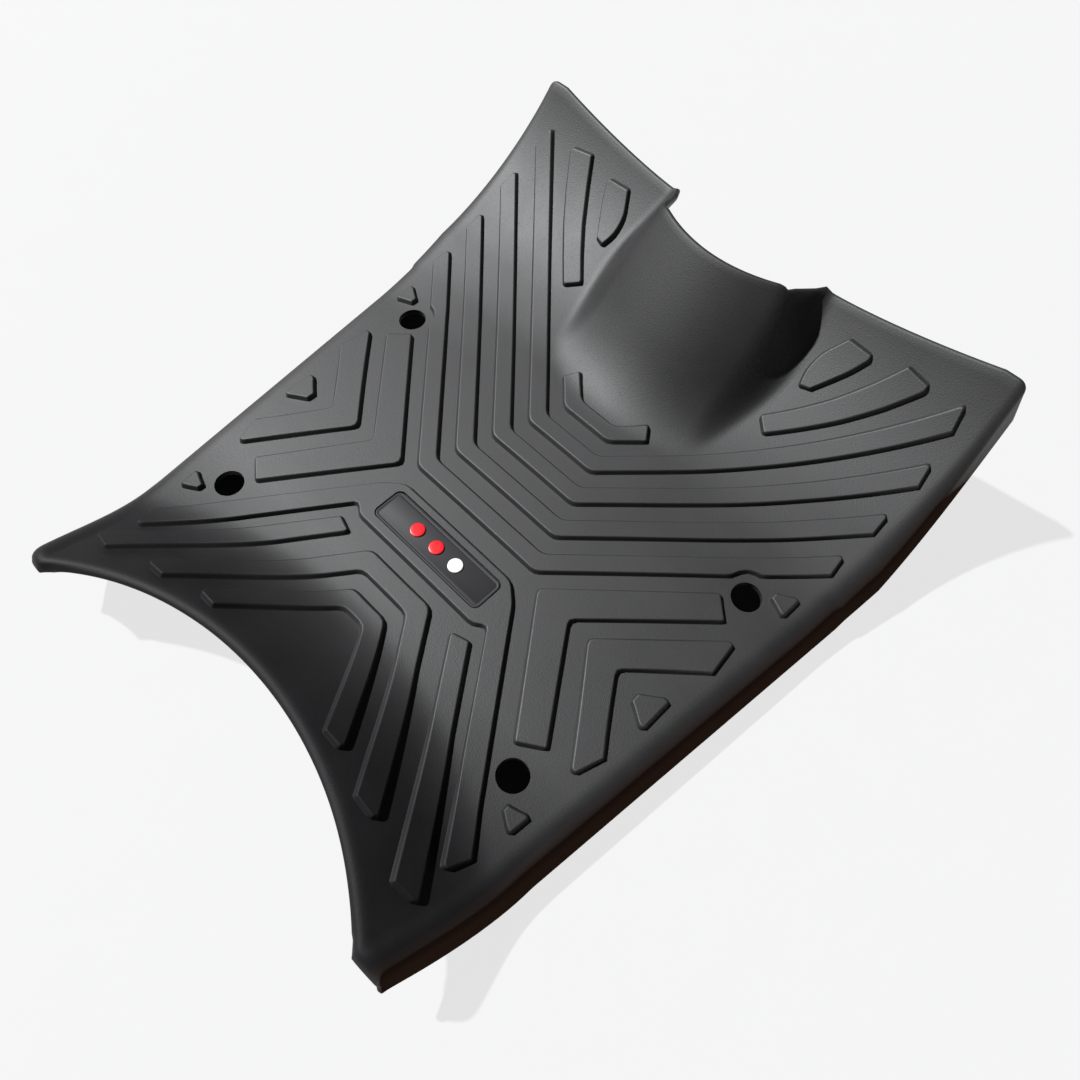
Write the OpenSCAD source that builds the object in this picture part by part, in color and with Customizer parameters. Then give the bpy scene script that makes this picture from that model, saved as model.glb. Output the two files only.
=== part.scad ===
// Rubber floorboard mat of a scooter, with a badge plate and three round studs let into its middle.
// +X is the rider's right, +Y the front of the scooter and +Z up. The mat stands on the feet of its skirts.

/* [Mat] */
// Height of the tread floor above the surface that the skirts stand on
floor_h = 34; // [28:1:44]
// Wall of the moulding
wall = 4; // [3:0.5:5]
// How far forward of the origin the front tips reach
front_y = 222; // [214:1:228]
// How far behind the origin the middle of the rear edge lies
rear_y = 172; // [166:1:176]
// Radius of the concave rear edge, seen from above
rear_edge_r = 212; // [205:1:250]
// Fall of the floor from its middle to 150 mm out
crown = 5; // [2:0.5:7]
// Length over which the crown fades out, ahead of the front holes
crown_fade_l = 70; // [50:5:90]

/* [Sides] */
// Half width at the feet, just behind the origin
side_half_w = 180; // [176:1:186]
// Outward run of each side for 1 mm forward
side_slope = 0.113; // [0.1:0.001:0.13]
// Radius of the fold between the floor and the skirt
fold_r = 16; // [12:1:20]
// Lean of the skirts
skirt_draft = 12; // [8:1:15]
// How much higher the foot of the skirt is ahead of its notch
notch_step = 7; // [4:0.5:9]
// Place of the notch along the mat
notch_y = 88; // [84:1:92]

/* [Rises] */
// Where the floor starts to rise towards the front
front_rise_y = 84; // [80:1:100]
// Radius of the front rise
front_rise_r = 168; // [140:1:190]
// Length of the rise before the rear edge
rear_rise_l = 66; // [55:1:75]
// Height of the rear edge above the floor
rear_rise_h = 30; // [20:1:32]
// Radius of the lip that rolls down at the rear edge
lip_r = 8; // [6:1:10]

/* [Front bulge] */
// Height of the bulge's cut edge above the floor
bulge_h = 75; // [66:1:78]
// Half width of the cut edge
bulge_half_w = 50; // [46:1:54]
// Place of the bulge's foot on the middle line
bulge_foot_y = 99; // [94:1:104]
// Place of the cut edge on the middle line
bulge_edge_y = 170; // [166:1:174]
// Steepness of the bulge's sides, as height over width
bulge_side_slope = 3.2; // [1.8:0.1:3.6]
// Blend between the bulge and the floor
bulge_blend = 26; // [18:1:32]

/* [Tread ribs] */
// Height of the ribs above the floor
rib_h = 3; // [2:0.2:3.4]
// Width of the ribs in the middle of the mat
rib_w = 13; // [11:0.5:14]
// Distance from one front rib to the next, along the mat
rib_pitch = 23.5; // [22:0.5:24]
// Slope of the ribs' flanks, as run over the rib's height
rib_flank = 1.4; // [1:0.1:2]

/* [Badge] */
// Length of the badge plate, across the mat
badge_l = 87; // [80:1:90]
// Width of the badge plate, along the mat
badge_w = 21.5; // [18:0.5:24]
// Place of the badge's middle along the mat
badge_y = -53.5; // [-56:0.5:-51]
// Radius of the badge plate's corners
badge_corner_r = 4; // [2:0.5:5]
// Thickness of the badge plate
badge_t = 2; // [1:0.2:2.2]
// Gap round the badge plate in its recess
badge_gap = 0.3; // [0.2:0.1:0.6]
// Diameter of the round studs on the badge
stud_d = 9; // [6:0.5:11]
// Height of the studs above the badge
stud_h = 1; // [0.6:0.1:1.4]
// Distance from one stud to the next
stud_pitch = 16; // [13:0.5:20]

/* [Holes] */
// Diameter of the four fixing holes
hole_d = 18; // [16:0.5:20]
// Distance between the two front holes
front_hole_span = 286; // [280:1:292]
// Place of the front holes along the mat
front_hole_y = 52; // [48:1:56]
// Distance between the two rear holes
rear_hole_span = 243; // [238:1:248]
// Place of the rear holes along the mat
rear_hole_y = -111; // [-114:1:-108]

/* [Hidden] */
mat_colour = "#3f4042";
plate_colour = "#4a4b4d";

// Small helpers for smooth joins between two heights
function soft_min(a, b, k) = min(a, b) - pow(max(k - abs(a - b), 0), 2) / (4 * k);
function soft_max(a, b, k) = -soft_min(-a, -b, k);
function mix(a, b, t) = a + (b - a) * t;
function clamp(t, lo, hi) = max(lo, min(hi, t));
function ease(t) = let (c = clamp(t, 0, 1)) c * c * (3 - 2 * c);

// Plan of the mat: foot of the skirt, rear edge and front edge
side_front_round_y = 120;
side_rear_round_y = -140;
side_front_bend = 0.0007;
side_rear_bend = 0.0204;
function foot_half_w(y) = side_half_w + side_slope * clamp(y, side_rear_round_y, side_front_round_y)
    - pow(max(y - side_front_round_y, 0), 2) * side_front_bend
    - pow(max(side_rear_round_y - y, 0), 1.5) * side_rear_bend;
function rear_edge_y(x) = -rear_y - rear_edge_r + sqrt(pow(rear_edge_r, 2) - x * x);
// Each wing ends in a panel from beside the bulge out to the front tip
panel_x = bulge_half_w + 9;
panel_y = front_y - 10;
panel_l = 110;
panel_bend = 1.4;
bulge_edge_bend = 0.0058;
function bulge_edge(x) = bulge_edge_y + x * x * bulge_edge_bend;
function front_edge_y(x) =
    abs(x) <= bulge_half_w ? bulge_edge(x)
    : abs(x) >= panel_x ? mix(panel_y, front_y, pow(clamp((abs(x) - panel_x) / panel_l, 0, 1), panel_bend))
    : mix(bulge_edge(bulge_half_w), panel_y, (abs(x) - bulge_half_w) / (panel_x - bulge_half_w));

// Height of the top surface at a point of the plan
function front_rise(y) = front_rise_r
    - sqrt(pow(front_rise_r, 2) - pow(clamp(y - front_rise_y, 0, front_rise_r - 10), 2));
function rear_gap(x, y) = norm([x, y + rear_y + rear_edge_r]) - rear_edge_r;
function rear_rise(x, y) = let (t = clamp(1 - rear_gap(x, y) / rear_rise_l, 0, 1))
    rear_rise_h * t * t * (2 - t);
function lip_drop(x, y) = let (d = clamp(lip_r - rear_gap(x, y), 0, lip_r))
    lip_r - sqrt(pow(lip_r, 2) - d * d);
bulge_shoulder = 5;
bulge_top_blend = 30;
bulge_foot_r = 80;
bulge_rear_slope = bulge_h / (bulge_edge_y - bulge_foot_y);
function bulge(x, y) = soft_min(
    (y - bulge_foot_y - x * x / (2 * bulge_foot_r)) * bulge_rear_slope,
    bulge_h + bulge_shoulder + (bulge_half_w - abs(x)) * bulge_side_slope,
    bulge_top_blend);
crown_half_w = 150;
function crown_drop(x, y) = crown * pow(x / crown_half_w, 2) * (1 - ease((y - front_hole_y) / crown_fade_l));
function top_z(x, y) = floor_h - crown_drop(x, y) + rear_rise(x, y) - lip_drop(x, y)
    + soft_max(front_rise(y), bulge(x, y), bulge_blend);
corner_lift_y = -150;
corner_lift = 0.0069;
function foot_z(y) = pow(max(corner_lift_y - y, 0), 2) * corner_lift
    + (y > notch_y ? notch_step + front_rise(y) : 0);

// Unit normal of the top surface
function top_normal(x, y) = let (
    e = 0.5,
    a = (top_z(x + e, y) - top_z(x - e, y)) / (2 * e),
    b = (top_z(x, y + e) - top_z(x, y - e)) / (2 * e))
    [-a, -b, 1] / norm([a, b, 1]);

// Section of the mat: the fold leaves the top at fold_x and turns down into the skirt
fold_run = fold_r * tan((90 - skirt_draft) / 2);
function corner_x(y) = foot_half_w(y) - (top_z(foot_half_w(y) - 8, y) - foot_z(y)) * tan(skirt_draft);
function fold_x(y) = corner_x(y) - fold_run;

// Columns of the shell, as shares of the half width, with the edges of the bulge among them
top_shares = [0.06, 0.12, 0.18, 0.235, 0.286, 0.343, 0.4, 0.48, 0.6, 0.72, 0.84, 0.93, 1];
fold_steps = 4;
rows = [0, 0.006, 0.014, 0.024, 0.045, 0.075, 0.11, 0.15, 0.2, 0.28, 0.36, 0.44, 0.52, 0.6, 0.66,
    0.698, 0.7025, 0.74, 0.78, 0.82, 0.86, 0.9, 0.935, 0.965, 1];
rear_half = fold_x(-200);
front_half = fold_x(200);
function row_y(s, v) = mix(rear_edge_y(s * rear_half), front_edge_y(s * front_half), v);

// A column is a share across the top, or an angle round the fold, or the foot of the skirt
function section_point(side, kind, value, y, t) =
    let (
        xf = fold_x(y),
        zf = top_z(xf, y),
        r = fold_r - t,
        turn = 90 - skirt_draft)
    kind == "fold" ? [side * (xf + r * sin(value * turn)), y, zf - fold_r + r * cos(value * turn)]
    : [side * (foot_half_w(y) - t / cos(skirt_draft)), y, foot_z(y)];
function top_point(s, v, t) =
    let (y = row_y(s, v), x = s * fold_x(y), n = top_normal(x, y))
    [x, y, top_z(x, y)] - t * (abs(s) == 1 ? [0, 0, 1] : [n[0], n[1] * (v == 0 || v == 1 ? 0 : 1), n[2]]);
function edge_half(side, v, t) = concat(
    [section_point(side, "foot", 0, row_y(1, v), t)],
    [for (i = [fold_steps:-1:1]) section_point(side, "fold", i / fold_steps, row_y(1, v), t)]);
function reversed(list) = [for (i = [len(list) - 1:-1:0]) list[i]];
function row_points(v, t) = concat(
    edge_half(-1, v, t),
    [for (s = reversed(top_shares)) top_point(-s, v, t)],
    [top_point(0, v, t)],
    [for (s = top_shares) top_point(s, v, t)],
    reversed(edge_half(1, v, t)));

// Shell: the outer and the inner skin, joined round their rim
module shell() {
    columns = len(row_points(0, 0));
    count = len(rows);
    skin = columns * count;
    outer = [for (v = rows) each row_points(v, 0)];
    inner = [for (v = rows) each row_points(v, wall)];
    quads = concat(
        [for (i = [0:count - 2], j = [0:columns - 2]) let (k = i * columns + j)
            [k, k + columns, k + columns + 1, k + 1]],
        [for (i = [0:count - 2], j = [0:columns - 2]) let (k = skin + i * columns + j)
            [k, k + 1, k + columns + 1, k + columns]],
        [for (j = [0:columns - 2]) [j, j + 1, skin + j + 1, skin + j]],
        [for (j = [0:columns - 2]) let (k = (count - 1) * columns + j)
            [k + 1, k, skin + k, skin + k + 1]],
        [for (i = [0:count - 2]) let (k = i * columns)
            [k + columns, k, skin + k, skin + k + columns]],
        [for (i = [0:count - 2]) let (k = i * columns + columns - 1)
            [k, k + columns, skin + k + columns, skin + k]]);
    polyhedron(
        points = concat(outer, inner),
        faces = [for (q = quads) each [[q[0], q[1], q[2]], [q[0], q[2], q[3]]]]);
}

// A rib is a strip between two edge lines of the plan, raised above the top surface
root = 2.6;
function end_shift(i, n, a) = i == 0 ? a[1] - a[0] : i == n - 1 ? a[n - 2] - a[n - 1] : [0, 0];
function unit(v) = norm(v) == 0 ? v : v / norm(v);
function rib_corner(p, up) = [p[0], p[1], top_z(p[0], p[1]) + up];
function rib_section(a, b, along) = let (
    d = unit(b - a),
    e = unit(along),
    f = min(rib_flank, norm(b - a) * 0.3)) [
    rib_corner(a, -root),
    rib_corner(a + (d + e) * f * 0.4, rib_h * 0.75),
    rib_corner(a + (d + e) * f, rib_h),
    rib_corner(b + (e - d) * f, rib_h),
    rib_corner(b + (e - d) * f * 0.4, rib_h * 0.75),
    rib_corner(b, -root)];
module strip(a, b) {
    n = len(a);
    middle = (a + b) / 2;
    points = [for (i = [0:n - 1]) each rib_section(a[i], b[i], end_shift(i, n, middle))];
    sides = [for (i = [0:n - 2], j = [0:5]) let (p = i * 6 + j, q = i * 6 + (j + 1) % 6)
        each [[p, q, p + 6], [q, q + 6, p + 6]]];
    last = (n - 1) * 6;
    ends = [for (j = [1:4]) each [[0, j + 1, j], [last, last + j, last + j + 1]]];
    polyhedron(points = points, faces = concat(sides, ends));
}

// Points spread evenly from one plan point to another, without the last
function spread(p, q, n) = [for (i = [0:n - 1]) mix(p, q, i / n)];
function mirrored(list) = [for (i = [len(list) - 1:-1:0]) [-list[i][0], list[i][1]]];
module both_sides() {
    children();
    mirror([1, 0, 0]) children();
}

// Places given as distance in from the side line, and along the mat
function in_from_side(list) = [for (p = list) [side_half_w - p[0], p[1]]];
function evenly(list, n) = concat(
    [for (k = [0:len(list) - 2]) each spread(list[k], list[k + 1], n)],
    [list[len(list) - 1]]);

// Front ribs: a straight piece across the middle and two arms at 45 degrees, up to the sides
first_elbow = [50, -25];
elbow_step = -7.8;
arm_steps = 9;
outer_tips = in_from_side([[10, 95], [8, 129], [6.5, 164], [12, 193]]);
inner_tips = in_from_side([[11.5, 111.5], [8.5, 146], [9.5, 179], [16.5, 207]]);
function front_outer(k) = first_elbow + k * [elbow_step, rib_pitch];
function front_inner(k) = front_outer(k) + rib_w * [1 - sqrt(2), 1];
module front_rib(k) {
    a = evenly([front_outer(k), outer_tips[k]], arm_steps);
    b = evenly([front_inner(k), inner_tips[k]], arm_steps);
    strip(concat(mirrored(a), a), concat(mirrored(b), b));
}
short_outer_arm = 18.5;
short_inner_arm = 16;
module short_front_rib() {
    o = front_outer(4);
    i = front_inner(4);
    a = evenly([o, o + short_outer_arm * [1, 1]], 2);
    b = evenly([i, i + short_inner_arm * [1, 1]], 2);
    strip(concat(mirrored(a), a), concat(mirrored(b), b));
}

// Two shorter bars on each wing, beside the bulge
module wing_bars() {
    both_sides() {
        strip([[84, 135.5], [100, 151.5], [115, 167], [130, 184.5], [144.5, 203.5]],
            [[73.5, 144.5], [88, 159.5], [101, 174], [113, 189.5], [124.5, 205.5]]);
        strip([[87.5, 170.5], [94.5, 180], [101.5, 190], [107.5, 201]],
            [[81, 168.5], [77.5, 179], [79, 189], [88, 202]]);
    }
}

// Chevrons and blocks on each side, between the front and the rear ribs
module side_ribs() {
    both_sides() {
        strip(evenly(in_from_side([[54, -90], [96, -31], [34.5, 31]]), 5),
            evenly(in_from_side([[69.5, -101], [123, -30], [48, 44]]), 5));
        strip(evenly(in_from_side([[31, -72], [58.5, -33], [21, 3]]), 5),
            evenly(in_from_side([[37, -93], [83, -31], [23, 29]]), 5));
        strip(in_from_side([[26, -20.5], [35, -28], [44, -34.5]]),
            in_from_side([[26.5, -50], [35, -44.5], [43.5, -39.5]]));
        strip(in_from_side([[12.5, 75], [20, 70], [28.5, 65]]),
            in_from_side([[14, 55], [20, 57.5], [28, 60.5]]));
        strip(in_from_side([[36, -117], [43, -120], [51.5, -122.5]]),
            in_from_side([[38, -134], [44, -131], [51, -126.5]]));
    }
}

// Rear ribs: the frame of the badge with its two arms, a straight pair, and two chevrons
module rear_rib(o, i, o_end, i_end) {
    a = evenly([o, o_end], 7);
    b = evenly([i, i_end], 7);
    strip(concat(mirrored(b), b), concat(mirrored(a), a));
}
module badge_frame() {
    steps = 8;
    outer = concat([[8, -36.5], [24, -36.5], [44, -36.5]],
        evenly(concat([[48.6, -36.5]], in_from_side([[42.5, -154]])), steps));
    inner = concat([[8, -72], [24, -72], [47, -72]],
        evenly(concat([[54.5, -66]], in_from_side([[49, -169.5]])), steps));
    strip(concat(mirrored(inner), inner), concat(mirrored(outer), outer));
}
module straight_rear_rib() {
    strip(evenly(concat([[41.5, -81]], in_from_side([[60, -188]])), 7),
        evenly(concat([[54.5, -77]], in_from_side([[43.5, -187]])), 7));
}
module rear_ribs() {
    badge_frame();
    rear_rib([25.4, -79.5], [18, -93], [97.5, -177], [80, -175.5]);
    rear_rib([14, -102], [7.5, -115], [61.5, -167], [46, -166.5]);
    both_sides() straight_rear_rib();
}

module tread() {
    for (k = [0:3]) front_rib(k);
    short_front_rib();
    wing_bars();
    side_ribs();
    rear_ribs();
}

// Outline of the badge plate, grown by a clearance
module badge_outline(grow) {
    l = badge_l / 2 - badge_corner_r;
    w = badge_w / 2 - badge_corner_r;
    hull() for (x = [-l, l], y = [-w, w]) translate([x, y]) circle(r = badge_corner_r + grow, $fn = 32);
}
badge_seat_z = floor_h + 0.2;
middle_y = (row_y(1, 1) + row_y(1, 0)) / 2;
module centred() translate([0, -middle_y, 0]) children();

// Bores run this far below and above the floor; the rib beside a front hole keeps clear of its rim
reach = 30;
scallop_gap = 5.5;
module hole(x, y) {
    translate([x, y, floor_h - reach]) cylinder(d = hole_d, h = 2 * reach, $fn = 64);
}

module floor_mat() {
    color(mat_colour) centred() difference() {
        resize([0, 0, 0]) union() {
            shell();
            difference() {
                tread();
                for (side = [-1, 1]) translate([side * front_hole_span / 2, front_hole_y, floor_h - reach])
                    cylinder(d = hole_d + 2 * scallop_gap, h = 2 * reach, $fn = 64);
            }
        }
        translate([0, badge_y, badge_seat_z]) linear_extrude(height = reach) badge_outline(badge_gap);
        for (side = [-1, 1]) {
            hole(side * front_hole_span / 2, front_hole_y);
            hole(side * rear_hole_span / 2, rear_hole_y);
        }
    }
}

module badge_plate() {
    color(plate_colour) centred() translate([0, badge_y, badge_seat_z])
        linear_extrude(height = badge_t) badge_outline(0);
}

module stud(place) {
    translate([place * stud_pitch, badge_y, badge_seat_z + badge_t])
        cylinder(d = stud_d, h = stud_h, $fn = 48);
}
module badge_red_studs() {
    color("#e8222a") centred() for (place = [-1, 0]) stud(place);
}
module badge_white_stud() {
    color("#f4f4f4") centred() stud(1);
}

floor_mat();
badge_plate();
badge_red_studs();
badge_white_stud();
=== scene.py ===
# %% [markdown]
# # Scooter floorboard mat
# One moulded rubber mat with raised tread ribs, a badge plate and three round studs.
# Plan sizes are in millimetres, as on the part's drawing, and each mesh is made in metres.

# %% Setup
from math import cos, radians, sin

import bmesh
import bpy
import numpy as np
from mathutils import Matrix, Vector


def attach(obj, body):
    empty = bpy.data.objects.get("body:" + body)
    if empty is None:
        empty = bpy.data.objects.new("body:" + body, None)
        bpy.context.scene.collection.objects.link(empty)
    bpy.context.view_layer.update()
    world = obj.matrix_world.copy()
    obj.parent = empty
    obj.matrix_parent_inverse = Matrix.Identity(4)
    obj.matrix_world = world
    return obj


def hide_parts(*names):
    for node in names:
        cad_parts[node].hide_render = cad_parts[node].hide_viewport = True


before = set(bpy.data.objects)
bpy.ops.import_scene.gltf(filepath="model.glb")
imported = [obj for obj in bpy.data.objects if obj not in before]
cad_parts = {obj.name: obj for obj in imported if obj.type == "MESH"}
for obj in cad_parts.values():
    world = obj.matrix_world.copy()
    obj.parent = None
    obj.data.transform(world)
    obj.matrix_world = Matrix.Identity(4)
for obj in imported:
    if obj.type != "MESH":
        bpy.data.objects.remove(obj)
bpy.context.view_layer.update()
MM = 0.001

# %% Sizes of the mat
FLOOR_H, WALL = 34.0, 4.0
CROWN, CROWN_HALF_W, CROWN_FADE_L = 5.0, 150.0, 70.0
FRONT_Y, REAR_Y, REAR_EDGE_R = 222.0, 172.0, 212.0
SIDE_HALF_W, SIDE_SLOPE, FOLD_R, DRAFT = 180.0, 0.113, 16.0, np.radians(12)
SIDE_FRONT_ROUND_Y, SIDE_REAR_ROUND_Y = 120.0, -140.0
SIDE_FRONT_BEND, SIDE_REAR_BEND, SIDE_REAR_POWER = 0.0007, 0.0204, 1.5
TIGHTER_FOLD_R, TIGHTER_FOLD_Y, TIGHTER_FOLD_L = 7.0, 110.0, 110.0
NOTCH_STEP, NOTCH_Y, NOTCH_SOFT_L = 7.0, 88.0, 0.8
CORNER_LIFT, CORNER_LIFT_Y = 0.0069, -150.0
FRONT_RISE_Y, FRONT_RISE_R = 84.0, 168.0
REAR_RISE_L, REAR_RISE_H, LIP_R = 66.0, 30.0, 8.0
BULGE_H, BULGE_HALF_W, BULGE_FOOT_Y, BULGE_EDGE_Y = 75.0, 50.0, 99.0, 170.0
BULGE_SIDE_SLOPE, BULGE_SHOULDER, BULGE_BLEND, BULGE_SIDE_BLEND = 3.1, 3.0, 24.0, 27.0
BULGE_TAPER, BULGE_TAPER_L, BULGE_TAPER_AHEAD = 17.0, 80.0, 15.0
BULGE_EDGE_BEND, BULGE_FOOT_BEND_R = 0.0058, 80.0
PANEL_X, PANEL_Y, PANEL_L, PANEL_BEND = BULGE_HALF_W + 9, FRONT_Y - 10, 110.0, 1.4
RIB_H, RIB_W, RIB_PITCH, RIB_FLANK = 3.0, 13.0, 23.5, 1.7
HOLE_R, HOLE_STEPS, CUT_REACH = 9.0, 64, 25.0
FRONT_HOLE, REAR_HOLE = np.array([143.0, 52.0]), np.array([121.5, -111.0])
BADGE_Y, BADGE_L, BADGE_W, BADGE_T, BADGE_CORNER_R = -53.5, 87.0, 21.5, 2.0, 4.0
BADGE_GAP, SEAT_Z = 0.5, FLOOR_H + 0.2
STUD_R, STUD_H, STUD_PITCH, STUD_STEPS = 4.5, 1.0, 16.0, 48


# %% [markdown]
# ## The top surface as a height over the plan


# %% Height functions
def soft_min(a, b, k):
    """The lesser of a and b, less the square of (k minus their distance), over 4 k, where they are near."""
    return np.minimum(a, b) - np.maximum(k - np.abs(a - b), 0) ** 2 / (4 * k)


def soft_max(a, b, k):
    """The soft minimum turned over."""
    return -soft_min(-a, -b, k)


def arc_drop(d, r):
    """How far a circle of radius r has left its tangent after a run d: r less the root of r² - d²."""
    return r - np.sqrt(r**2 - d**2)


def ease(t):
    """Three t² less two t³: a smooth step from 0 to 1."""
    t = np.clip(t, 0, 1)
    return t * t * (3 - 2 * t)


def foot_half_w(y):
    """Half the width at the feet: a straight taper that curves in at both ends."""
    taper = SIDE_SLOPE * np.clip(y, SIDE_REAR_ROUND_Y, SIDE_FRONT_ROUND_Y)
    front = SIDE_FRONT_BEND * np.maximum(y - SIDE_FRONT_ROUND_Y, 0) ** 2
    rear = SIDE_REAR_BEND * np.maximum(SIDE_REAR_ROUND_Y - y, 0) ** SIDE_REAR_POWER
    return SIDE_HALF_W + taper - front - rear


def rear_edge_y(x):
    """The rear edge is an arc of a circle that lies behind the mat."""
    return -REAR_Y - REAR_EDGE_R + np.sqrt(REAR_EDGE_R**2 - x**2)


def front_edge_y(x):
    """The front edge: the cut arc of the bulge, a short slanted side, and the panel out to the tip."""
    a = np.abs(x)
    arc = BULGE_EDGE_Y + BULGE_EDGE_BEND * a**2
    panel = PANEL_Y + (FRONT_Y - PANEL_Y) * np.clip((a - PANEL_X) / PANEL_L, 0, 1) ** PANEL_BEND
    t = np.clip((a - BULGE_HALF_W) / (PANEL_X - BULGE_HALF_W), 0, 1)
    side = (BULGE_EDGE_Y + BULGE_EDGE_BEND * BULGE_HALF_W**2) * (1 - t) + PANEL_Y * t
    return np.where(a <= BULGE_HALF_W, arc, np.where(a >= PANEL_X, panel, side))


def front_rise(y):
    """The floor curls up ahead of its bend line, on a circle."""
    return arc_drop(np.clip(y - FRONT_RISE_Y, 0, FRONT_RISE_R - 10), FRONT_RISE_R)


def bulge(x, y):
    """A barrel that leans back: the softer of its rear slope and its two sides."""
    foot = BULGE_FOOT_Y + x**2 / (2 * BULGE_FOOT_BEND_R)
    rear = (y - foot) * BULGE_H / (BULGE_EDGE_Y - BULGE_FOOT_Y)
    half = BULGE_HALF_W - BULGE_TAPER * ease((BULGE_EDGE_Y + BULGE_TAPER_AHEAD - y) / BULGE_TAPER_L)
    sides = BULGE_H + BULGE_SHOULDER + (half - np.abs(x)) * BULGE_SIDE_SLOPE
    return soft_min(rear, sides, BULGE_SIDE_BLEND)


def top_z(x, y):
    """Floor height, less the crown, plus the rear rise with its lip and the front rise or the bulge."""
    gap = np.hypot(x, y + REAR_Y + REAR_EDGE_R) - REAR_EDGE_R
    t = np.clip(1 - gap / REAR_RISE_L, 0, 1)
    rear = REAR_RISE_H * t * t * (2 - t)
    crown = CROWN * (x / CROWN_HALF_W) ** 2 * (1 - ease((y - FRONT_HOLE[1]) / CROWN_FADE_L))
    lip = arc_drop(np.clip(LIP_R - gap, 0, LIP_R), LIP_R)
    front = soft_max(front_rise(y), bulge(x, y), BULGE_BLEND)
    return FLOOR_H - crown + rear - lip + front


def foot_z(y):
    """Height of the skirt's foot: level, raised ahead of the notch, and curved up at the rear corner."""
    ahead = (NOTCH_STEP + front_rise(y)) * (1 / (1 + np.exp(-(y - NOTCH_Y) / NOTCH_SOFT_L)))
    return CORNER_LIFT * np.maximum(CORNER_LIFT_Y - y, 0) ** 2 + ahead


def fold_r(y):
    """The fold's radius: it grows tighter towards the front corners."""
    return FOLD_R - (FOLD_R - TIGHTER_FOLD_R) * ease((y - TIGHTER_FOLD_Y) / TIGHTER_FOLD_L)


def fold_x(y):
    """Where the fold leaves the top: the meeting of top and skirt, less the fold's tangent length."""
    foot = foot_half_w(y)
    corner = foot - (top_z(foot - 8, y) - foot_z(y)) * np.tan(DRAFT)
    return corner - fold_r(y) * np.tan((np.pi / 2 - DRAFT) / 2)


def skin_z(x, y):
    """The top surface, with the start of the fold beyond fold_x."""
    start = fold_x(y)
    over = np.clip(np.abs(x) - start, 0, fold_r(y) * 0.95)
    return top_z(np.clip(x, -start, start), y) - arc_drop(over, fold_r(y))


# %% [markdown]
# ## Mesh helpers
# Every surface is a grid of points computed at once, and `grid_faces` joins neighbours into quads.

# %% Mesh helpers
middle_y = (FRONT_Y + rear_edge_y(fold_x(np.array(-200.0)))) / 2


def to_frame(points):
    """Drawing millimetres to the part's metres, with the origin at the middle of the length."""
    return (np.asarray(points, dtype=float) - [0, middle_y, 0]) * MM


def grid_faces(rows, cols, wrap=False, first=0):
    """Quads of a rows by cols grid; wrap joins the last column to the first."""
    i, j = np.meshgrid(np.arange(rows - 1), np.arange(cols if wrap else cols - 1), indexing="ij")
    k = (j + 1) % cols
    quads = np.stack([i * cols + j, i * cols + k, (i + 1) * cols + k, (i + 1) * cols + j], axis=-1)
    return quads.reshape(-1, 4) + first


def normals(grid):
    """Unit normals of a grid of points: the cross product of its two directions of travel."""
    across, along = np.gradient(grid, axis=1), np.gradient(grid, axis=0)
    n = np.cross(across, along)
    return n / np.maximum(np.linalg.norm(n, axis=-1, keepdims=True), 1e-9)


def make_object(name, points, faces, smooth=True):
    """A mesh object from an array of points and one of faces."""
    mesh = bpy.data.meshes.new(name)
    mesh.from_pydata(np.reshape(points, (-1, 3)).tolist(), [], [list(map(int, f)) for f in faces])
    mesh.polygons.foreach_set("use_smooth", [smooth] * len(mesh.polygons))
    mesh.update()
    obj = bpy.data.objects.new(name, mesh)
    bpy.context.scene.collection.objects.link(obj)
    return obj


# %% [markdown]
# ## The shell
# A section runs from one foot up the skirt, round the fold, over the top and down again.
# Sections from the rear edge to the front edge make the outer skin. The inner skin lies one wall
# below it, and a half round rim joins the two.

# %% Shell
ROWS, TOP_COLS, FOLD_COLS, SKIRT_COLS = 150, 66, 8, 6
HALF_WALL, RIM_STEPS = WALL / 2, 5
REAR_HALF, FRONT_HALF = fold_x(np.array(-200.0)), fold_x(np.array(200.0))


def row_y(s, v):
    """Place along the mat of share v from the rear edge to the front edge, at share s of the width."""
    rear = rear_edge_y(s * REAR_HALF) + HALF_WALL
    front = front_edge_y(s * FRONT_HALF) - HALF_WALL
    return rear * (1 - v) + front * v


def half_section(v):
    """Points of one half, from the middle line out to the foot, for an array of shares v."""
    s = np.linspace(0, 1, TOP_COLS)[None, :]
    y = row_y(s, v[:, None])
    x = s * fold_x(y)
    top = np.stack([x, y, top_z(x, y)], axis=-1)
    y = np.broadcast_to(row_y(1, v[:, None]), (len(v), FOLD_COLS))
    angle = np.linspace(0, 1, FOLD_COLS + 1)[None, 1:] * (np.pi / 2 - DRAFT)
    start = fold_x(y)
    fold_z = top_z(start, y) - fold_r(y) * (1 - np.cos(angle))
    fold = np.stack([start + fold_r(y) * np.sin(angle), y, fold_z], axis=-1)
    y = y[:, -1:]
    foot = np.stack([foot_half_w(y), y, foot_z(y) + HALF_WALL], axis=-1)
    t = np.linspace(0, 1, SKIRT_COLS + 1)[None, 1:, None]
    skirt = fold[:, -1:, :] * (1 - t) + foot * t
    return np.concatenate([top, fold, skirt], axis=1)


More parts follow.
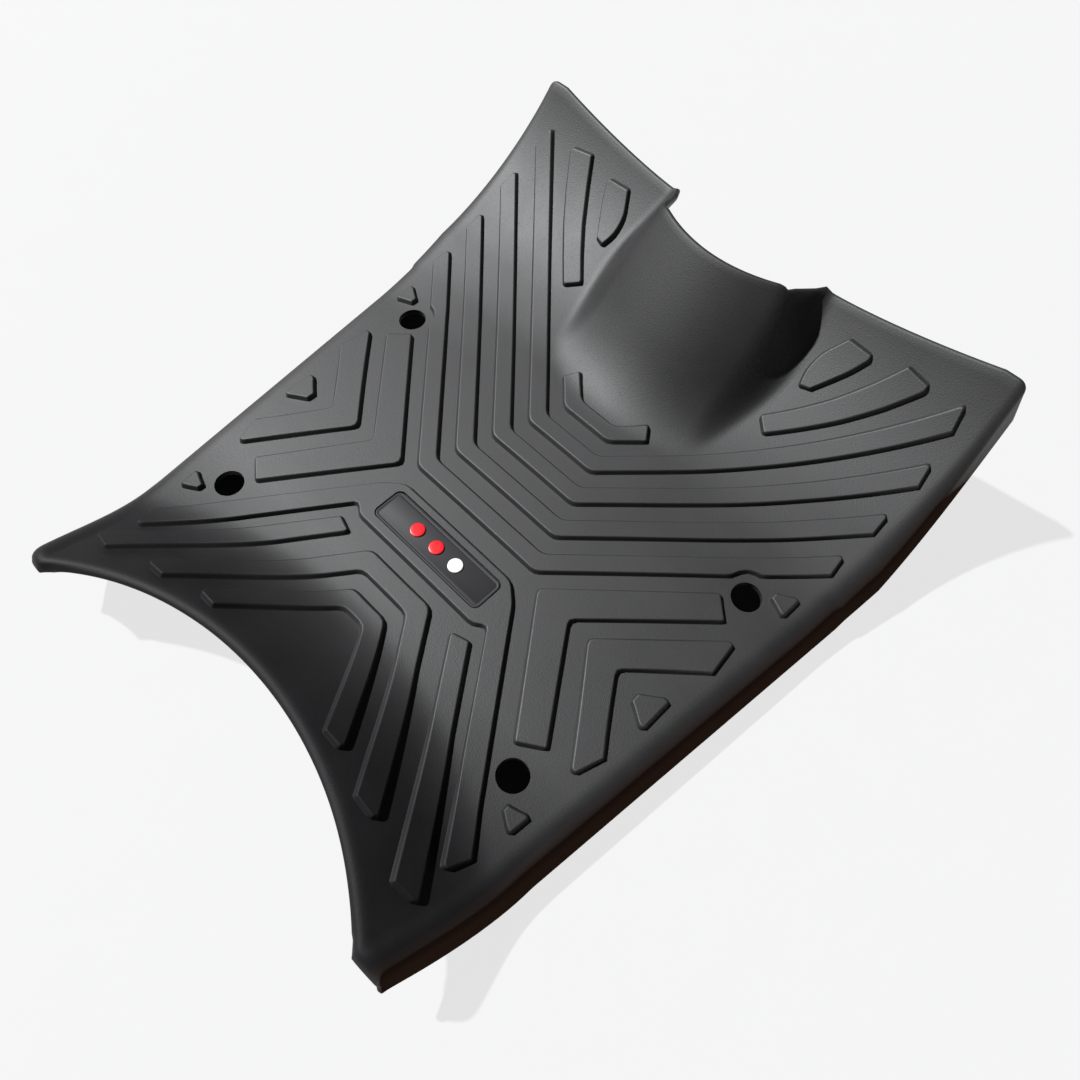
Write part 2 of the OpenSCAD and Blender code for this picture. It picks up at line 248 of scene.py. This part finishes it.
v = np.unique(np.concatenate([np.linspace(0, 0.06, 14), np.linspace(0.06, 1, ROWS - 13)]))
half = half_section(v)
mirror = half[:, :0:-1] * [-1, 1, 1]
outer = np.concatenate([mirror, half], axis=1)
up = normals(outer)
inner = outer - up * WALL
rows, cols = outer.shape[:2]
loop = np.concatenate([
    np.arange(cols),
    np.arange(1, rows) * cols + cols - 1,
    (rows - 1) * cols + np.arange(cols - 2, -1, -1),
    np.arange(rows - 2, 0, -1) * cols,
])
edge, edge_up = outer.reshape(-1, 3)[loop], up.reshape(-1, 3)[loop]
tangent = np.roll(edge, -1, axis=0) - np.roll(edge, 1, axis=0)
out = np.cross(tangent, edge_up)
out /= np.linalg.norm(out, axis=1, keepdims=True)
theta = np.linspace(0, np.pi, RIM_STEPS + 2)[1:-1, None, None]
rim = edge - edge_up * HALF_WALL + HALF_WALL * (np.cos(theta) * edge_up + np.sin(theta) * out)
skin = rows * cols
ring = len(loop)
steps = 2 * skin + np.arange(RIM_STEPS * ring).reshape(RIM_STEPS, ring)
ladder = np.concatenate([[loop], steps, [skin + loop]])
rim_faces = ladder.reshape(-1)[grid_faces(RIM_STEPS + 2, ring, wrap=True)][:, ::-1]
faces = np.concatenate([
    grid_faces(rows, cols),
    grid_faces(rows, cols, first=skin)[:, ::-1],
    rim_faces,
])
points = np.concatenate([outer.reshape(-1, 3), inner.reshape(-1, 3), rim.reshape(-1, 3)])
shell = make_object("mat_shell", to_frame(points), faces)
print("shell:", len(points), "points,", len(faces), "quads")


# %% Holes
def circle_points(steps):
    """Points of the unit circle, going round to the left."""
    turn = np.linspace(0, 2 * np.pi, steps, endpoint=False)
    return np.stack([np.cos(turn), np.sin(turn)], axis=-1)


def stack_rings(name, rings, heights):
    """A closed solid from rings of plan points at rising heights, with flat caps."""
    n = len(rings[0])
    points = [np.column_stack([ring, np.full(n, z)]) for ring, z in zip(rings, heights)]
    faces = [list(f) for f in grid_faces(len(rings), n, wrap=True)]
    faces += [list(range(n - 1, -1, -1)), list(range((len(rings) - 1) * n, len(rings) * n))]
    obj = make_object(name, to_frame(np.concatenate(points)), faces)
    obj.data.set_sharp_from_angle(angle=np.radians(50))
    return obj


def hole_cutter(centre):
    """A round cutter that passes through the floor."""
    ring = centre + HOLE_R * circle_points(HOLE_STEPS)
    return stack_rings("cutter", [ring, ring], [FLOOR_H - CUT_REACH, FLOOR_H + CUT_REACH])


def cut(obj, cutters):
    """Take the cutters from the object, one after the other, and keep the result as its mesh."""
    for cutter in cutters:
        modifier = obj.modifiers.new("cut", "BOOLEAN")
        modifier.object, modifier.solver = cutter, "EXACT"
        evaluated = obj.evaluated_get(bpy.context.evaluated_depsgraph_get())
        mesh = bpy.data.meshes.new_from_object(evaluated)
        obj.modifiers.clear()
        obj.data = mesh
        bpy.data.objects.remove(cutter)


SIDES = np.array([[1, 1], [-1, 1]])
cut(shell, [hole_cutter(hole * side) for hole in (FRONT_HOLE, REAR_HOLE) for side in SIDES])
print("shell with holes:", len(shell.data.vertices), "points")

# %% [markdown]
# ## Tread ribs
# A rib lies between two edge lines of the plan. Its height depends on the distance from its nearest
# edge, so its shoulders run round it, and its ends are rounded by drawing the edge lines in.

# %% Rib mesher
END_R = 3.0
ROOT, ROOT_DEPTH = -0.6, 0.35
SLOPE_STEP = 0.5
CORNER_SHARE = 0.45
SHOULDER = np.array([ROOT, -0.1, 0.35, 0.8, 1.25, RIB_FLANK, RIB_FLANK + 0.5])
END_ROWS = np.concatenate([SHOULDER - ROOT, [3.4, 4.3, 5.6]])


def shoulder_height(d):
    """Height over the surface at distance d inside the edge: a smooth step up to the rib's height."""
    return (RIB_H + ROOT_DEPTH) * ease((d - ROOT) / (RIB_FLANK - ROOT)) - ROOT_DEPTH


def soften(line, reach=3.5):
    """Each inner corner of a line of points gives way to three points of a parabola."""
    line = np.asarray(line, dtype=float)
    out = [line[:1]]
    for before, corner, after in zip(line[:-2], line[1:-1], line[2:]):
        a = corner + (before - corner) * min(CORNER_SHARE, reach / np.linalg.norm(before - corner))
        b = corner + (after - corner) * min(CORNER_SHARE, reach / np.linalg.norm(after - corner))
        out.append(np.stack([a, 0.25 * a + 0.5 * corner + 0.25 * b, b]))
    out.append(line[-1:])
    return np.concatenate(out)


def resample(a, b, step=3.2):
    """Both edge lines at the same shares of each stretch, closer at the two ends."""
    runs = np.linalg.norm(np.diff((a + b) / 2, axis=0), axis=1)
    counts = np.maximum(1, np.round(runs / step).astype(int))
    share = np.concatenate([k + np.arange(n) / n for k, n in enumerate(counts)] + [[len(counts)]])
    knots = np.arange(len(a))
    length = np.interp(share, knots, np.concatenate([[0], np.cumsum(runs)]))
    ends = np.concatenate([END_ROWS, length[-1] - END_ROWS])
    inside = length[(length > END_ROWS[-1] + 0.8) & (length < length[-1] - END_ROWS[-1] - 0.8)]
    travel = np.sort(np.concatenate([ends, inside]))
    share = np.interp(travel, length, share)
    line = lambda p: np.stack([np.interp(share, knots, p[:, i]) for i in (0, 1)], axis=-1)
    return line(a), line(b), travel


def end_tuck(edge, other, depth):
    """How far a corner's arc draws an edge in, at depths from the end line that joins edge to other."""
    across = other[0] - edge[0]
    length = np.linalg.norm(across)
    angles = []
    for line, side in ((edge, 1), (other, -1)):
        run = line[1] - line[0]
        angles.append(np.arccos(side * run @ across / length / np.linalg.norm(run)))
    radius = min(END_R, CORNER_SHARE * length / (1 / np.tan(angles[0] / 2) + 1 / np.tan(angles[1] / 2)))
    angle = angles[0]
    arc = radius / np.tan(angle / 2) - np.sqrt(np.maximum(radius**2 - (radius - depth) ** 2, 0))
    side = depth / np.tan(angle)
    return np.where(depth < radius * (1 + np.cos(angle)), np.maximum(arc - side, 0), 0)


def rib(a, b, dodge=None):
    """Grid of a rib between edge lines a and b, which run the same way; dodge is a rim to keep clear of."""
    line_a, line_b = soften(a), soften(b)
    a, b, travel = resample(line_a, line_b)
    depths = np.maximum(travel + ROOT, 0), np.maximum(travel[-1] - travel + ROOT, 0)
    from_end = np.minimum(travel, travel[-1] - travel) + ROOT
    if dodge is not None:
        for centre in dodge[0] * SIDES:
            for line in (a, b):
                d = line - centre
                r = np.linalg.norm(d, axis=1, keepdims=True)
                line[:] = np.where(r < dodge[1], centre + d * dodge[1] / r, line)
    width = np.linalg.norm(b - a, axis=1)[:, None]
    tuck_a = end_tuck(line_a, line_b, depths[0]) + end_tuck(line_a[::-1], line_b[::-1], depths[1])
    tuck_b = end_tuck(line_b, line_a, depths[0]) + end_tuck(line_b[::-1], line_a[::-1], depths[1])
    tuck_a, tuck_b = tuck_a[:, None], tuck_b[:, None]
    low = np.minimum(SHOULDER[None, :], (width - tuck_a - tuck_b) / 2 - 0.2)
    left, right = tuck_a + low, width - tuck_b - low[:, ::-1]
    middle = np.linspace(0, 1, 4)[None, 1:-1]
    across = np.concatenate([left, left[:, -1:] * (1 - middle) + right[:, :1] * middle, right], axis=1)
    inset = np.minimum(across - tuck_a, width - tuck_b - across)
    distance = np.minimum(inset, from_end[:, None])
    plan = a[:, None] + (b - a)[:, None] * (across / width)[..., None]
    x, y = plan[..., 0], plan[..., 1]
    base = np.stack([x, y, skin_z(x, y)], axis=-1)
    slope_x = (skin_z(x + SLOPE_STEP, y) - skin_z(x - SLOPE_STEP, y)) / (2 * SLOPE_STEP)
    slope_y = (skin_z(x, y + SLOPE_STEP) - skin_z(x, y - SLOPE_STEP)) / (2 * SLOPE_STEP)
    n = np.stack([-slope_x, -slope_y, np.ones_like(x)], axis=-1)
    n /= np.linalg.norm(n, axis=-1, keepdims=True)
    return base + n * shoulder_height(distance)[..., None]


def mirrored(line):
    """The line continued from its image on the other side of the middle line."""
    line = np.asarray(line, dtype=float)
    return np.concatenate([line[::-1] * [-1, 1], line])


# %% Rib outlines
TIPS = [(170, 95), (172, 129), (173.5, 164), (168, 193)]
INNER_TIPS = [(168.5, 111.5), (171.5, 146), (170.5, 179), (163.5, 207)]
RIM = (FRONT_HOLE, HOLE_R + 5.5)
grids = []
for k in range(5):
    o = np.array([50.0 - 7.8 * k, -25.0 + RIB_PITCH * k])
    i = o + RIB_W * np.array([1 - np.sqrt(2), 1])
    ends = (TIPS[k], INNER_TIPS[k]) if k < 4 else (o + 18.5, i + 16.0)
    grids.append(rib(mirrored([o, ends[0]]), mirrored([i, ends[1]]), RIM))

frame_outer = [(30, -36.5), (44, -36.5), (54.6, -45), (137.5, -154)]
frame_inner = [(30, -71.5), (48.5, -71.5), (54.5, -66), (131, -169.5)]
frame_grid = rib(mirrored(frame_inner), mirrored(frame_outer))
grids.append(rib(mirrored([(18, -93), (80, -175.5)]), mirrored([(25.4, -79.5), (97.5, -177)])))
grids.append(rib(mirrored([(7.5, -115), (46, -166.5)]), mirrored([(14, -102), (61.5, -167)])))

one_side = [
    ([(54.5, -77), (136.5, -187)], [(41.5, -81), (120, -188)]),
    ([(126, -90), (84, -31), (145.5, 31)], [(110.5, -101), (57, -30), (132, 44)]),
    ([(149, -72), (121.5, -33), (159, 3)], [(143, -93), (97, -31), (157, 29)]),
    ([(154, -20.5), (145, -28), (136, -34.5)], [(153.5, -50), (145, -44.5), (136.5, -39.5)]),
    ([(167.5, 75), (160, 70), (151.5, 65)], [(166, 55), (160, 57.5), (152, 60.5)]),
    ([(144, -117), (137, -120), (128.5, -122.5)], [(142, -134), (136, -131), (129, -126.5)]),
    ([(84, 135.5), (100, 151.5), (115, 167), (130, 184.5), (144.5, 203.5)],
     [(73.5, 144.5), (88, 159.5), (101, 174), (113, 189.5), (124.5, 205.5)]),
    ([(87.5, 170.5), (94.5, 180), (101.5, 190), (107.5, 201)],
     [(81, 168.5), (77.5, 179), (79, 189), (88, 202)]),
]
for a, b in one_side:
    for side in SIDES:
        grids.append(rib(np.array(a) * side, np.array(b) * side))


def facing_up(grid):
    """Quads of a rib's grid, turned over where its edge lines run the other way."""
    rows, cols = grid.shape[:2]
    faces = grid_faces(rows, cols)
    return faces if normals(grid)[rows // 2, cols // 2, 2] > 0 else faces[:, ::-1]


starts = np.cumsum([0] + [g.shape[0] * g.shape[1] for g in grids])
rib_faces = np.concatenate([facing_up(g) + start for g, start in zip(grids, starts)])
ribs = make_object("mat_ribs", to_frame(np.concatenate([g.reshape(-1, 3) for g in grids])), rib_faces)
print("ribs:", len(grids), "of them,", len(rib_faces), "quads")

# %% [markdown]
# ## Badge recess
# The frame of the badge is a closed solid, so that the recess can be cut from it.

# %% Badge frame
def rounded_rectangle(length, width, radius, steps=8):
    """Outline with quarter circles at its corners, going round to the left."""
    turn = np.linspace(0, np.pi / 2, steps)
    quarter = np.stack([np.cos(turn), np.sin(turn)], axis=-1) * radius
    out = []
    for k, (sx, sy) in enumerate([(1, 1), (-1, 1), (-1, -1), (1, -1)]):
        q = quarter if k % 2 == 0 else quarter[::-1]
        centre = np.array([sx * (length / 2 - radius), sy * (width / 2 - radius)])
        out.append(centre + q * [sx, sy])
    return np.concatenate(out)


def closed_solid(name, grid, depth=2.5):
    """The grid as the top of a solid: a copy lies the depth below it, and walls join their borders."""
    rows, cols = grid.shape[:2]
    count = rows * cols
    border = np.concatenate([
        np.arange(cols), np.arange(1, rows) * cols + cols - 1,
        (rows - 1) * cols + np.arange(cols - 2, -1, -1), np.arange(rows - 2, 0, -1) * cols])
    low = grid.reshape(-1, 3).copy()
    low[:, 2] = np.minimum(low[:, 2] - depth, skin_z(low[:, 0], low[:, 1]) - 1.5)
    walls = np.concatenate([border, border + count])[grid_faces(2, len(border), wrap=True)]
    top = facing_up(grid)
    flip = top[0, 1] != grid_faces(rows, cols)[0, 1]
    faces = np.concatenate([top, top[:, ::-1] + count, walls if flip else walls[:, ::-1]])
    return make_object(name, to_frame(np.concatenate([grid.reshape(-1, 3), low])), faces)


frame_rib = closed_solid("badge_frame", frame_grid)
outline = rounded_rectangle(BADGE_L + 2 * BADGE_GAP, BADGE_W + 2 * BADGE_GAP, BADGE_CORNER_R + BADGE_GAP)
cut(frame_rib, [stack_rings("cutter", [outline + [0, BADGE_Y]] * 2, [SEAT_Z, FLOOR_H + 20])])
print("badge frame:", len(frame_rib.data.vertices), "points")

# %% One piece
parts = [shell, ribs, frame_rib]
with bpy.context.temp_override(active_object=shell, object=shell, selected_editable_objects=parts,
                               selected_objects=parts):
    bpy.ops.object.join()
mat = shell
mat.name = mat.data.name = "moulded_mat"
cleaned = bmesh.new()
cleaned.from_mesh(mat.data)
bmesh.ops.dissolve_degenerate(cleaned, dist=0.00003, edges=cleaned.edges)
cleaned.to_mesh(mat.data)
cleaned.free()
mat.data.polygons.foreach_set("use_smooth", [True] * len(mat.data.polygons))
mat.data.set_sharp_from_angle(angle=np.radians(60))
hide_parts("floor_mat")
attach(mat, "root")


# %% [markdown]
# ## Badge plate and studs

# %% Badge
plate_insets = [0.3, 0.0, 0.0, 0.12, 0.35, 0.7, 1.5, 1.75, 2.0, 2.3]
plate_heights = [0.0, 0.3, BADGE_T - 0.7, BADGE_T - 0.3, BADGE_T - 0.08, BADGE_T, BADGE_T, BADGE_T - 0.22,
                 BADGE_T - 0.22, BADGE_T]
plate_rings = [rounded_rectangle(BADGE_L - 2 * g, BADGE_W - 2 * g, BADGE_CORNER_R - g) for g in plate_insets]
plate_levels = [SEAT_Z + h for h in plate_heights]
plate = stack_rings("plate", [ring + [0, BADGE_Y] for ring in plate_rings], plate_levels)
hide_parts("badge_plate")
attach(plate, "root")


def stud(name, place):
    """A low round stud with a domed top, on the plate."""
    radii = STUD_R * np.array([1, 1, 0.985, 0.94, 0.85, 0.6, 0.3])
    heights = STUD_H * np.array([0, 0.55, 0.72, 0.84, 0.91, 0.98, 1.0])
    rings = [circle_points(STUD_STEPS) * r + [place * STUD_PITCH, BADGE_Y] for r in radii]
    return stack_rings(name, rings, SEAT_Z + BADGE_T + heights)


red_studs = [stud("red_stud_left", -1), stud("red_stud_middle", 0)]
white_stud = stud("white_stud", 1)
for piece in red_studs:
    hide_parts("badge_red_studs")
    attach(piece, "root")
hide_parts("badge_white_stud")
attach(white_stud, "root")


# %% [markdown]
# ## Materials
# `Socket` wraps a node output, so that shader maths reads as maths.

# %% Shader helpers
class Socket:
    """An output of a node in a tree, with operators that add Math nodes."""

    def __init__(self, tree, output):
        self.tree, self.output = tree, output

    def math(self, operation, other=None):
        node = self.tree.nodes.new("ShaderNodeMath")
        node.operation = operation
        self.tree.links.new(self.output, node.inputs[0])
        if isinstance(other, Socket):
            self.tree.links.new(other.output, node.inputs[1])
        elif other is not None:
            node.inputs[1].default_value = other
        return Socket(self.tree, node.outputs[0])

    def __add__(self, other):
        return self.math("ADD", other)

    def __sub__(self, other):
        return self.math("SUBTRACT", other)

    def __mul__(self, other):
        return self.math("MULTIPLY", other)


class Material:
    """A principled material and the means to build its pattern."""

    def __init__(self, name, **sockets):
        self.material = bpy.data.materials.new(name)
        self.material.use_nodes = True
        self.tree = self.material.node_tree
        self.shader = self.tree.nodes["Principled BSDF"]
        for key, value in sockets.items():
            self.shader.inputs[key.replace("_", " ").title()].default_value = value
        self.place = self.node("ShaderNodeTexCoord").outputs["Object"]

    def node(self, kind, **inputs):
        """Add a node; an input is a number, a raw output or a Socket."""
        node = self.tree.nodes.new(kind)
        for key, value in inputs.items():
            socket = node.inputs[key.replace("_", " ")]
            if isinstance(value, Socket):
                value = value.output
            if isinstance(value, bpy.types.NodeSocket):
                self.tree.links.new(value, socket)
            else:
                socket.default_value = value
        return node

    def noise(self, scale, detail=3.0, roughness=0.55):
        """Noise over the object's own coordinates, with features about 1 / scale metres apart."""
        node = self.node("ShaderNodeTexNoise", Vector=self.place, Scale=scale, Detail=detail,
                         Roughness=roughness)
        return Socket(self.tree, node.outputs["Fac"])

    def blend(self, factor, low, high):
        """A colour between low and high, each of them a constant or an output."""
        node = self.node("ShaderNodeMix")
        node.data_type = "RGBA"
        self.tree.links.new(factor.output, node.inputs[0])
        for socket, colour in zip(node.inputs[6:8], (low, high)):
            if isinstance(colour, bpy.types.NodeSocket):
                self.tree.links.new(colour, socket)
            else:
                socket.default_value = (*colour, 1)
        return node.outputs[2]

    def levels(self, source, low, high):
        """Stretch a socket so that low becomes 0 and high becomes 1."""
        node = self.node("ShaderNodeMapRange", Value=source)
        node.inputs["From Min"].default_value, node.inputs["From Max"].default_value = low, high
        return Socket(self.tree, node.outputs[0])

    def bump(self, height, distance):
        """Bump the surface by a height socket times the distance, in metres."""
        node = self.node("ShaderNodeBump", Height=height, Distance=distance, Strength=1.0)
        self.tree.links.new(node.outputs[0], self.shader.inputs["Normal"])

    def link(self, output, name):
        """Feed a shader input."""
        output = output.output if isinstance(output, Socket) else output
        self.tree.links.new(output, self.shader.inputs[name])


# %% Rubber
TREAD_DARK, TREAD_PALE = (0.0078, 0.0078, 0.0084), (0.0128, 0.0128, 0.0137)
SKIRT_TINT = (0.034, 0.019, 0.014)
# The rear and bulge factors set how far the sheen is cut there: painted shade.
SHEEN, REAR_SHADE_SHEEN_CUT, BULGE_SHADE_SHEEN_CUT, GRAIN_H = 0.85, 0.80, 0.35, 0.00014
rubber = Material("moulded_rubber")
facing = rubber.node("ShaderNodeSeparateXYZ", Vector=rubber.node("ShaderNodeNewGeometry").outputs["Normal"])
places = rubber.node("ShaderNodeSeparateXYZ", Vector=rubber.place).outputs
across, along = Socket(rubber.tree, places["X"]), Socket(rubber.tree, places["Y"])
sideways = rubber.levels(Socket(rubber.tree, facing.outputs["X"]).math("ABSOLUTE"), 0.45, 0.80)
skirt = sideways * rubber.levels(across.math("ABSOLUTE") - along * SIDE_SLOPE, 0.160, 0.168)
# Painted shade: the rear rise, the bulge and the sideways-facing skirts get less sheen, so they read darker
# than the lamps alone make them.
rear = rubber.levels(along, -0.095, -0.160)
bulge_shade_place = rubber.levels(across.math("ABSOLUTE"), 0.070, 0.045) * rubber.levels(along, 0.090, 0.120)
painted_shade_sheen_cut = skirt.math("MAXIMUM", rear * REAR_SHADE_SHEEN_CUT).math("MAXIMUM", bulge_shade_place * BULGE_SHADE_SHEEN_CUT)
grain = rubber.noise(1500, 2.0, 0.6)
patches = rubber.noise(22, 4.0, 0.6)
specks = rubber.levels(rubber.noise(900, 1.0), 0.62, 0.8)
tone = rubber.levels(patches * 0.7 + grain * 0.3, 0.35, 0.65)
rubber.link(rubber.blend(skirt, rubber.blend(tone, TREAD_DARK, TREAD_PALE), SKIRT_TINT), "Base Color")
# The sheen drops where the painted-shade mask is high.
rubber.link((painted_shade_sheen_cut * -1.0 + 1.0) * SHEEN, "Specular IOR Level")
rubber.link(rubber.levels(patches, 0.3, 0.7) * 0.05 + 0.57 + specks * 0.08, "Roughness")
rubber.bump(grain * 0.8 + rubber.noise(800, 2.0) * 0.3, GRAIN_H)
mat.data.materials.clear()
mat.data.materials.append(rubber.material)

# %% Badge materials
plate_finish = Material("badge_plate_finish")
plate_finish.shader.inputs["Specular IOR Level"].default_value = 0.3
plate_grain = plate_finish.noise(2600, 2.0)
plate_finish.link(plate_finish.blend(plate_grain, (0.022, 0.022, 0.024), (0.030, 0.030, 0.032)), "Base Color")
plate_finish.link(plate_grain * 0.15 + 0.52, "Roughness")
plate_finish.bump(plate_grain, 0.00004)
plate.data.materials.append(plate_finish.material)


def stud_finish(name, low, high):
    """Moulded gloss plastic with a faint mottle."""
    finish = Material(name)
    mottle = finish.noise(350, 3.0)
    finish.link(finish.blend(mottle, low, high), "Base Color")
    finish.link(mottle * 0.12 + 0.28, "Roughness")
    finish.bump(finish.noise(700, 2.0), 0.00003)
    return finish.material


red = stud_finish("red_plastic", (0.62, 0.008, 0.014), (0.78, 0.014, 0.022))
white = stud_finish("white_plastic", (0.80, 0.80, 0.79), (0.90, 0.90, 0.89))
for piece in red_studs:
    piece.data.materials.append(red)
white_stud.data.materials.append(white)

# %% [markdown]
# ## Floor, lights and camera

# %% Stage
# The floor glows only outside the mat's footprint. Under the mat it does not glow, which paints shade beneath
# the mat.
FLOOR_GLOW, SHADE_PATCH_HALF_W, SHADE_PATCH_REAR, SHADE_PATCH_FRONT, SHADE_PATCH_FRONT_SOFT = 0.76, 0.172, 0.160, 0.135, 0.12
floor = make_object("stage_floor", [(-4, -4, 0), (4, -4, 0), (4, 4, 0), (-4, 4, 0)], [(0, 1, 2, 3)])
floor_paper = Material("pale_paper", Roughness=0.9)
paper = floor_paper.noise(40, 3.0)
floor_paper.link(floor_paper.blend(paper, (0.085, 0.085, 0.085), (0.09, 0.09, 0.09)), "Base Color")
floor_paper.shader.inputs["Emission Color"].default_value = (1, 1, 1, 1)
separate = floor_paper.node("ShaderNodeSeparateXYZ", Vector=floor_paper.place).outputs
across, along = Socket(floor_paper.tree, separate["X"]), Socket(floor_paper.tree, separate["Y"])
# Mask of the painted shade patch under the mat: the glow is off inside it.
beside = across.math("ABSOLUTE") - along * SIDE_SLOPE - SHADE_PATCH_HALF_W
ends = (along * -1.0 - SHADE_PATCH_REAR).math("MAXIMUM", (along - SHADE_PATCH_FRONT) * SHADE_PATCH_FRONT_SOFT)
glow_outside_shade_patch = floor_paper.levels(beside.math("MAXIMUM", ends), -0.005, 0.0)
floor_paper.link(glow_outside_shade_patch * FLOOR_GLOW, "Emission Strength")
floor.data.materials.append(floor_paper.material)

world = bpy.data.worlds.new("studio")
bpy.context.scene.world = world
world.use_nodes = True
world.node_tree.nodes["Background"].inputs["Color"].default_value = (1, 1, 1, 1)
world.node_tree.nodes["Background"].inputs["Strength"].default_value = 0.05

sun_data = bpy.data.lights.new("key", "SUN")
sun_data.energy, sun_data.angle = 6.0, np.radians(1.6)
sun_data.color = (0.98, 0.99, 1.0)
sun = bpy.data.objects.new("key", sun_data)
bpy.context.scene.collection.objects.link(sun)
sun.rotation_euler = Vector((-0.60, -0.20, 0.78)).to_track_quat("Z", "Y").to_euler()

# %% Camera
LENS, SENSOR = 28.33, 36.0
forward = Vector((-0.31821, 0.33925, -0.88524)).normalized()
yaw, roll = radians(-43.2), radians(2.0)
level = Vector((cos(yaw), -sin(yaw), 0))
level = (level - level.dot(forward) * forward).normalized()
rise = level.cross(forward)
right = level * cos(roll) + rise * sin(roll)
above = right.cross(forward)
camera_data = bpy.data.cameras.new("camera")
camera_data.lens, camera_data.sensor_width = LENS, SENSOR
camera_data.clip_start = 0.01
camera = bpy.data.objects.new("camera", camera_data)
bpy.context.scene.collection.objects.link(camera)
turn = Matrix((right, above, -forward)).transposed()
camera.matrix_world = Matrix.Translation((0.1929, -0.1732 - middle_y * MM, 0.4677)) @ turn.to_4x4()
bpy.context.scene.camera = camera
bpy.context.scene.view_settings.view_transform = "Standard"
